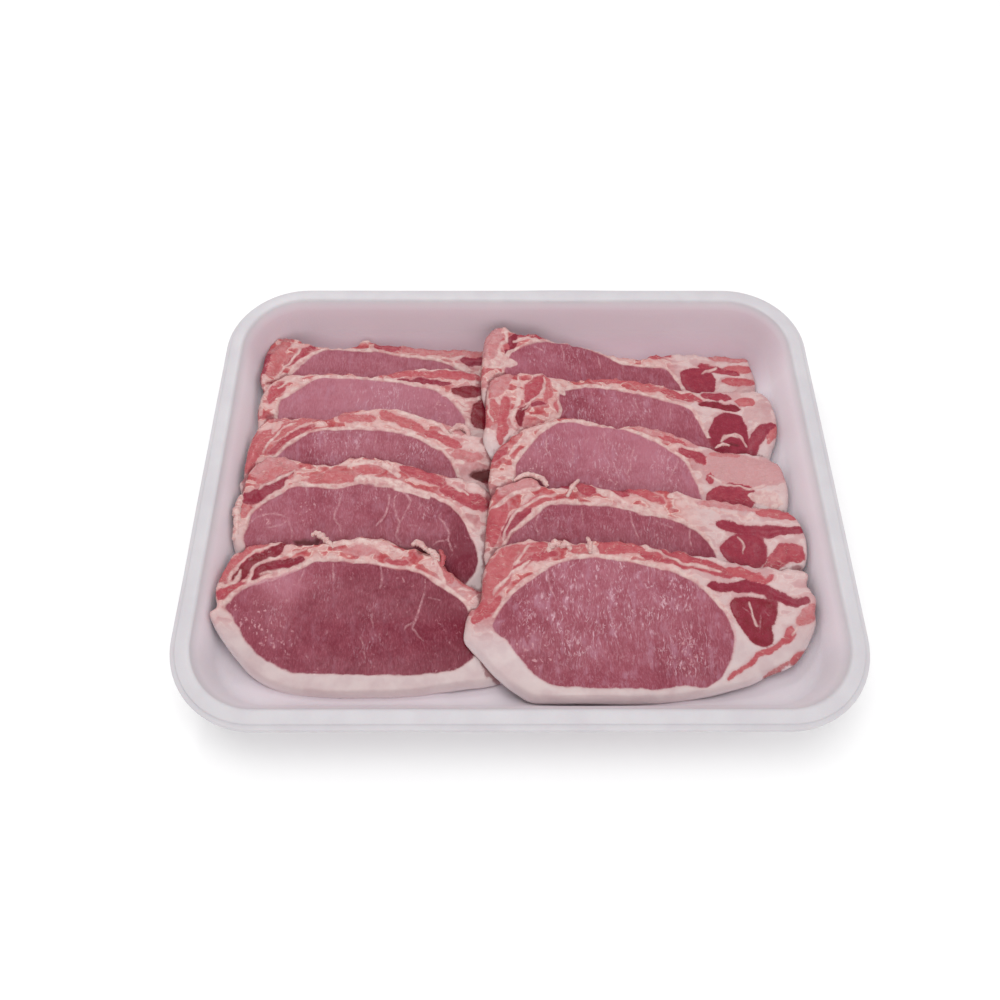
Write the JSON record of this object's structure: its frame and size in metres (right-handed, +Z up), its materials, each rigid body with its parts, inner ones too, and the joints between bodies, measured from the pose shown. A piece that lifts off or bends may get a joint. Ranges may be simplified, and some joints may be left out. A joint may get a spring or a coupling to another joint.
{
  "type": "meat tray pack",
  "caption": "White foam tray with a flat rim, holding raw boneless loin slices shingled in two overlapping columns.",
  "frame": {"origin": "middle of the tray's base, on the surface it stands on", "axes": "+X along the tray's long side, to the right seen from the front; +Y to the back; +Z up"},
  "size_m": [0.3, 0.235, 0.03],
  "materials": {
    "foam": "smooth white expanded foam with a satin skin",
    "meat": "moist raw lean and fat, soft gloss; rubber stands in for meat"
  },
  "bodies": {
    "root": {"tray": "foam", "slice_left_1": "meat", "slice_left_2": "meat", "slice_left_3": "meat", "slice_left_4": "meat", "slice_left_5": "meat", "slice_right_1": "meat", "slice_right_2": "meat", "slice_right_3": "meat", "slice_right_4": "meat", "slice_right_5": "meat"}
  },
  "joints": []
}
